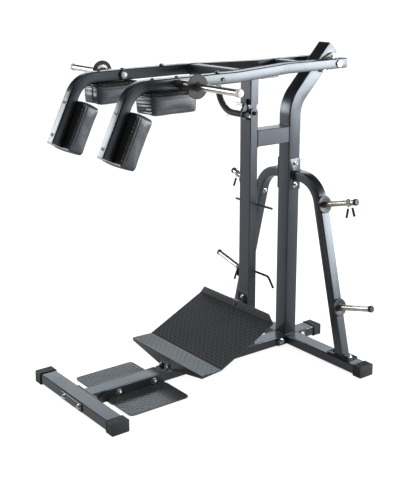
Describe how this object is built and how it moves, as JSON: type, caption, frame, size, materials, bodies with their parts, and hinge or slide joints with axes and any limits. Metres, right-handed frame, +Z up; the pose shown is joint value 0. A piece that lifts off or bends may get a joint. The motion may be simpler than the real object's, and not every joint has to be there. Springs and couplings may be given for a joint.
{
  "type": "lever squat machine",
  "caption": "Free-standing lever squat machine with padded shoulder arms on a rear mast, plate horns, sloping footplate, folding prop and plate storage pegs.",
  "frame": {"origin": "middle of the base of the whole machine's box, on the floor", "axes": "+Z up, -Y towards the front foot where the user stands, +X towards the side with the bent hook rod"},
  "size_m": [1.326, 1.5966, 1.5868],
  "materials": {
    "frame_steel": "satin anthracite powder coat",
    "black_steel": "satin black powder coat",
    "checker_steel": "dark coated tread plate",
    "rubber": "matt ribbed",
    "chrome": "polished",
    "zinc": "bright zinc",
    "cast_iron": "painted casting",
    "board": "black backing board",
    "vinyl": "dark grey grained vinyl"
  },
  "bodies": {
    "frame": {"front_foot": "frame_steel", "front_foot_cap_left": "rubber", "front_foot_cap_right": "rubber", "front_foot_bolts": "black_steel", "base_beam": "frame_steel", "base_beam_cap": "rubber", "rear_leg_left": "frame_steel", "rear_leg_right": "frame_steel", "rear_leg_cap_left": "rubber", "rear_leg_cap_right": "rubber", "rear_leg_bolt_front": "zinc", "rear_leg_bolt_rear": "zinc", "floor_plate_left": "checker_steel", "floor_plate_right": "checker_steel", "floor_plate_bracket_left": "black_steel", "floor_plate_bracket_right": "black_steel", "floor_plate_bolt_front": "zinc", "floor_plate_bolt_rear": "zinc", "footplate": "checker_steel", "footplate_front_bracket": "black_steel", "footplate_rear_bracket": "black_steel", "front_upright": "frame_steel", "rear_upright": "frame_steel", "upright_tie": "frame_steel", "storage_arm_left": "frame_steel", "storage_arm_right": "frame_steel", "storage_bolt_upper": "zinc", "storage_bolt_lower": "zinc", "storage_peg_left_upper": "chrome", "storage_peg_left_lower": "chrome", "storage_peg_right_upper": "chrome", "storage_peg_right_lower": "chrome", "band_rod": "black_steel", "hook_rod": "black_steel", "bearing_left": "cast_iron", "bearing_right": "cast_iron", "prop_bolt": "zinc"},
    "lever": {"lever_arm_left": "frame_steel", "lever_arm_right": "frame_steel", "lever_leg_cap_left": "rubber", "lever_leg_cap_right": "rubber", "lever_cross_front": "frame_steel", "lever_cross_rear": "frame_steel", "rest_plate": "frame_steel", "weight_horn_left": "chrome", "weight_horn_right": "chrome", "shoulder_pad_board_left": "board", "shoulder_pad_board_right": "board", "back_pad_board_left": "board", "back_pad_board_right": "board", "shoulder_pad_left": "vinyl", "shoulder_pad_right": "vinyl", "back_pad_left": "vinyl", "back_pad_right": "vinyl", "pivot_shaft": "zinc"},
    "prop": {"prop_strut": "frame_steel", "prop_grip": "rubber"},
    "collar_right_upper": {"spring_collar_right_upper": "black_steel"},
    "collar_left_upper": {"spring_collar_left_upper": "black_steel"},
    "collar_left_lower": {"spring_collar_left_lower": "black_steel"}
  },
  "joints": [
    {"name": "lever_pivot", "type": "hinge", "parent": "frame", "child": "lever", "pos_m": [0, 0.728, 1.48782], "axis": [-1, 0, 0], "range_deg": [0, 30]},
    {"name": "prop_hinge", "type": "hinge", "parent": "frame", "child": "prop", "pos_m": [0, 0.24754, 1.26674], "axis": [-1, 0, 0], "range_deg": [0, 85]},
    {"name": "collar_right_upper_slide", "type": "slide", "parent": "frame", "child": "collar_right_upper", "axis": [0.9703, 0, 0.2419], "range_m": [-0.149, 0.017]},
    {"name": "collar_left_upper_slide", "type": "slide", "parent": "frame", "child": "collar_left_upper", "axis": [-0.9703, 0, 0.2419], "range_m": [-0.149, 0.017]},
    {"name": "collar_left_lower_slide", "type": "slide", "parent": "frame", "child": "collar_left_lower", "axis": [-0.9703, 0, 0.2419], "range_m": [-0.007, 0.159]}
  ]
}
